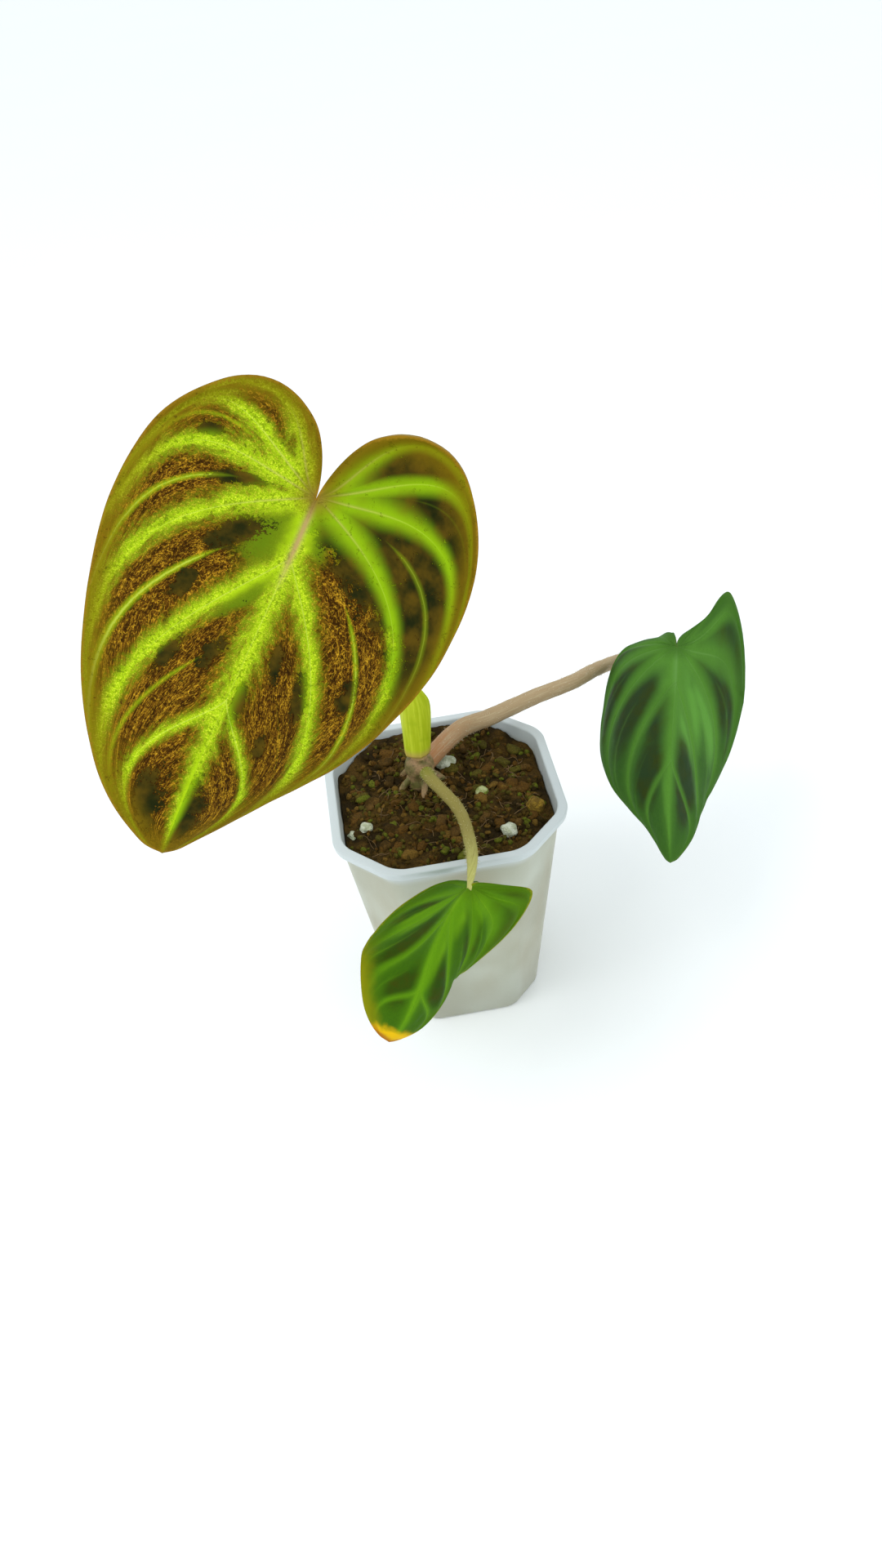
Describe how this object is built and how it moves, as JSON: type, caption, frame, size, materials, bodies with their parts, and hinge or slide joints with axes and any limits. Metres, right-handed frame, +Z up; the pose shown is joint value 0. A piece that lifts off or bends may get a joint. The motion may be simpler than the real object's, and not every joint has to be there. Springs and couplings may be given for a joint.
{
  "type": "potted philodendron",
  "caption": "A young heart-leaved climbing plant with velvety veined blades on long bent stalks, growing from a short rooted stem in soil in a small tapered square nursery pot.",
  "frame": {"origin": "The middle of the pot's flat underside, on the floor that the pot stands on.", "axes": "+Z is up. -Y is the front, towards which the large leaf and the small front leaf reach. +X is the side of the right leaf."},
  "size_m": [0.1799, 0.1429, 0.2211],
  "materials": {
    "frosted_plastic": "milky, faintly see-through, satin",
    "potting_mix": "damp crumbly bark and peat",
    "stem_bark": "green, matt",
    "large_stalk": "olive and tan, short hairs",
    "right_stalk": "tan, short hairs",
    "front_stalk": "khaki, short hairs",
    "lime_sheath": "lime, satin",
    "large_leaf": "velvet, lime veins on brown",
    "right_leaf": "velvet, green veins on dark green",
    "front_leaf": "velvet, green with a yellow tip",
    "perlite": "chalky, porous",
    "bark": "ochre, rough"
  },
  "bodies": {
    "root": {"pot": "frosted_plastic", "soil": "potting_mix", "stem": "stem_bark", "petiole_large": "large_stalk", "petiole_right": "right_stalk", "petiole_front": "front_stalk", "cataphyll": "lime_sheath", "blade_large": "large_leaf", "blade_right": "right_leaf", "blade_front": "front_leaf", "perlite_1": "perlite", "perlite_2": "perlite", "perlite_3": "perlite", "perlite_4": "perlite", "perlite_5": "perlite", "bark_nugget_6": "bark"}
  },
  "joints": []
}
